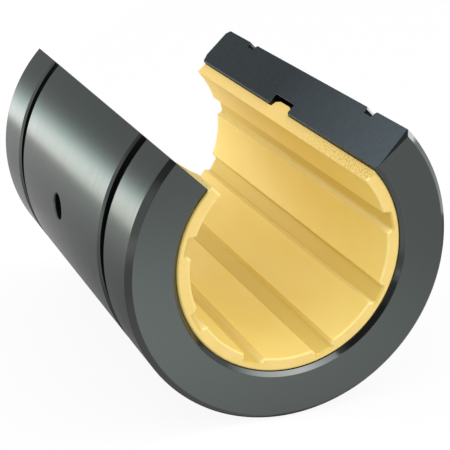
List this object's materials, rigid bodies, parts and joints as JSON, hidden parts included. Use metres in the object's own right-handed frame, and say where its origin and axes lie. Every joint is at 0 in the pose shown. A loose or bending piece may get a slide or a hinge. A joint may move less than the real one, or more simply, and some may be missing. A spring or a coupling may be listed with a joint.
{
  "type": "open sliding bush",
  "caption": "Open linear plain bush: a slit metal sleeve with a grooved polymer liner that slides on a round shaft held from one side.",
  "frame": {"origin": "on the bore's axis at the sleeve's mid-length", "axes": "+Y along the bore from the front end to the back end, +Z out through the middle of the opening, +X to the right seen from the front"},
  "size_m": [0.026, 0.036, 0.022],
  "materials": {
    "anodised_sleeve": "turned and anodised dark grey, satin",
    "liner_polymer": "moulded yellow bearing polymer, matt, sawn at the opening"
  },
  "bodies": {
    "root": {"aluminium_sleeve": "anodised_sleeve", "polymer_liner": "liner_polymer"}
  },
  "joints": []
}
